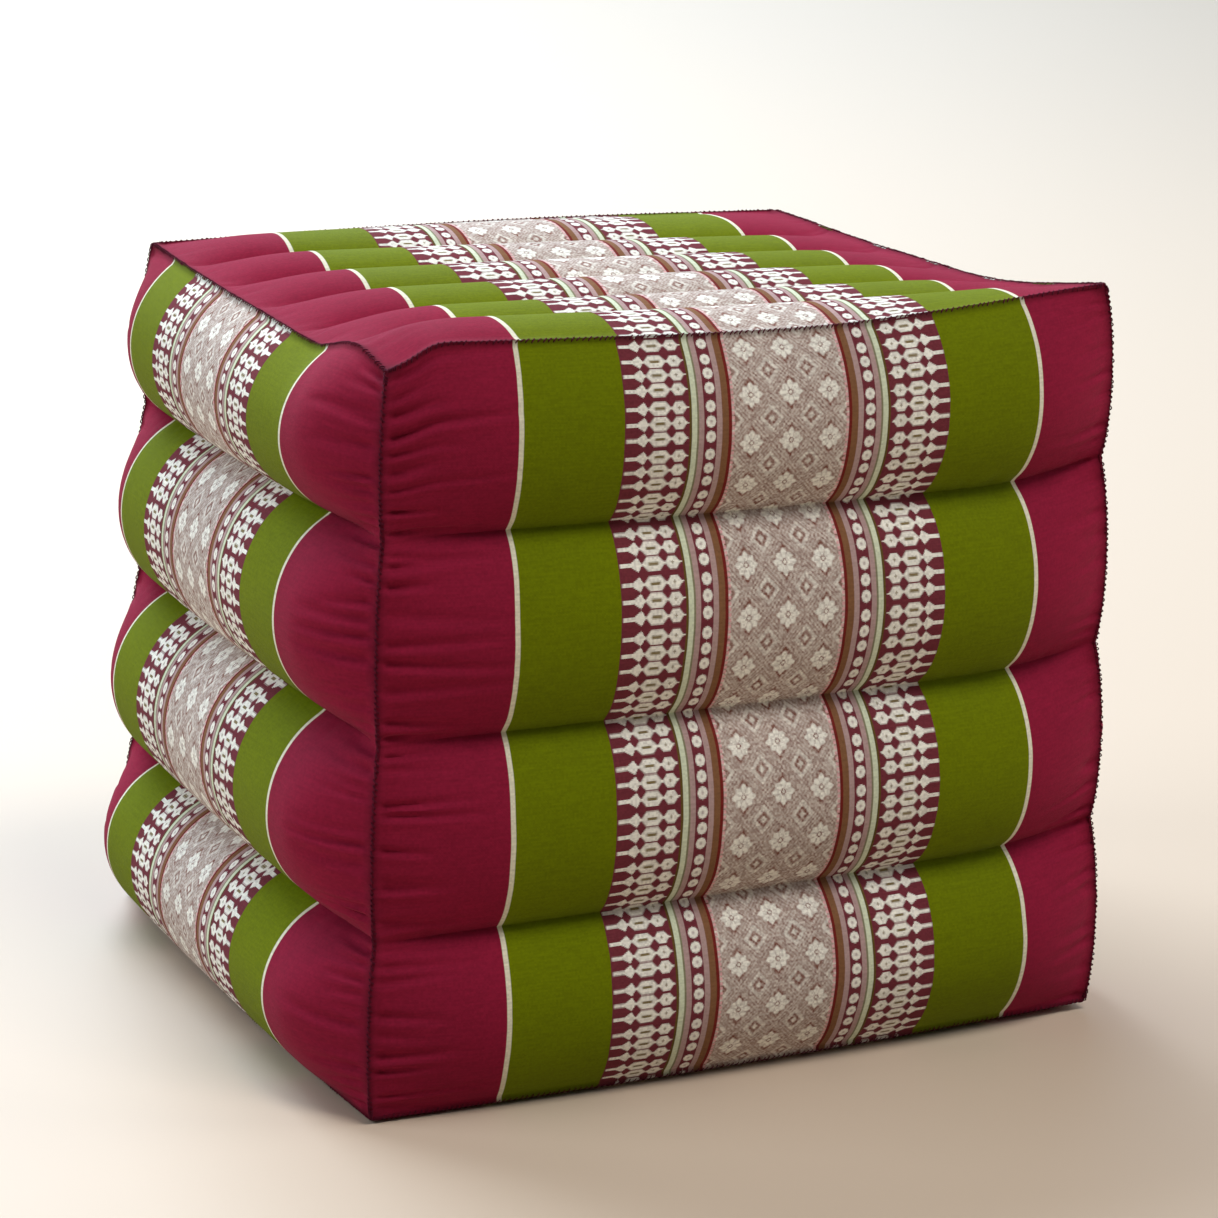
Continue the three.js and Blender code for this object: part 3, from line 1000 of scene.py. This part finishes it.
cotton = woven_cotton()
alone(cover)
bpy.ops.object.mode_set(mode="EDIT")
bpy.ops.mesh.select_all(action="SELECT")
bpy.ops.mesh.separate(type="MATERIAL")
bpy.ops.object.mode_set(mode="OBJECT")
for piece in list(bpy.context.selected_objects):
    panel = piece.data.materials[piece.data.polygons[0].material_index].name.removeprefix("cut_")
    piece.name = "panel_" + panel
    piece.data.name = piece.name
    piece.vertex_groups.clear()
    pucker(piece, panel)
    thicken(piece, cotton)
    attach(piece, "root")
    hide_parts("cushion")
for panel in PANELS:
    bpy.data.materials.remove(bpy.data.materials["cut_" + panel])

stitches = overcast(lines, seam_cotton())
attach(stitches, "root")


# Floor, light and camera

bpy.ops.object.select_all(action="DESELECT")
bpy.ops.mesh.primitive_plane_add(size=12, location=(0, 0, 0))
floor = active()
floor.name = "floor"
floor_paint = bpy.data.materials.new("pale_floor")
floor_paint.use_nodes = True
floor_paint.node_tree.nodes["Principled BSDF"].inputs["Base Color"].default_value = (0.56, 0.44, 0.33, 1)
floor_paint.node_tree.nodes["Principled BSDF"].inputs["Roughness"].default_value = 0.6
floor.data.materials.append(floor_paint)

world = bpy.data.worlds.new("studio")
bpy.context.scene.world = world
world.use_nodes = True
world.node_tree.nodes["Background"].inputs["Color"].default_value = (1, 1, 1, 1)
world.node_tree.nodes["Background"].inputs["Strength"].default_value = 0.08

# Camera: the point it looks at, its angles in degrees, its distance in metres and the frame in pixels.
AIM = Vector((0.0, 0.0, 0.165))
AZIMUTH, ELEVATION, ROLL = -24.56, 14.43, 0.88
DISTANCE = 1.8
FOCAL_PIXELS, FRAME_PIXELS = 4000.0, 1218.0
OFF_CENTRE = (-8.5, -3.5)


def soft_light(name, place, target, size, power, colour=(1, 1, 1)):
    bpy.ops.object.light_add(type="AREA", location=place)
    lamp = active()
    lamp.name = name
    lamp.data.size = size
    lamp.data.energy = power
    lamp.data.color = colour
    lamp.rotation_euler = (Vector(target) - Vector(place)).to_track_quat("-Z", "Y").to_euler()
    return lamp


soft_light("window_left", (-2.4, 0.5, 1.5), (0, 0, 0.15), 1.4, 37, (0.82, 0.91, 1.0))
soft_light("window_back", (-0.4, 2.3, 2.6), (0, 0, 0.3), 2.2, 160, (0.74, 0.87, 1.0))
soft_light("front_above", (0.5, -1.5, 3.2), (0, 0, 0.15), 1.2, 64, (1.0, 0.98, 0.96))
soft_light("right_fill", (2.6, -0.9, 1.3), (0, 0, 0.2), 1.4, 34, (0.92, 0.96, 1.0))
soft_light("backdrop_wash", (0, 6.0, 3.0), (0, 6.5, 0), 6.0, 700, (0.62, 0.79, 1.0))

azimuth, elevation = math.radians(AZIMUTH), math.radians(ELEVATION)
level_reach = math.cos(elevation)
backward = Vector((math.sin(azimuth) * level_reach, -math.cos(azimuth) * level_reach, math.sin(elevation)))
aim = AIM - Vector((BOX_MIDDLE[0] * MM, BOX_MIDDLE[1] * MM, 0))
rightward = (-backward).cross(Vector((0, 0, 1))).normalized()
upward = rightward.cross(-backward)
roll = math.radians(ROLL)
rightward, upward = (
    rightward * math.cos(roll) + upward * math.sin(roll),
    upward * math.cos(roll) - rightward * math.sin(roll),
)
bpy.ops.object.camera_add(location=aim + backward * DISTANCE)
camera = active()
camera.matrix_world = Matrix(
    (
        (rightward.x, upward.x, backward.x, camera.location.x),
        (rightward.y, upward.y, backward.y, camera.location.y),
        (rightward.z, upward.z, backward.z, camera.location.z),
        (0, 0, 0, 1),
    )
)
camera.data.sensor_width = 36
camera.data.lens = FOCAL_PIXELS / FRAME_PIXELS * 36
camera.data.shift_x = -OFF_CENTRE[0] / FRAME_PIXELS
camera.data.shift_y = OFF_CENTRE[1] / FRAME_PIXELS
bpy.context.scene.camera = camera
bpy.context.scene.view_settings.view_transform = "Standard"
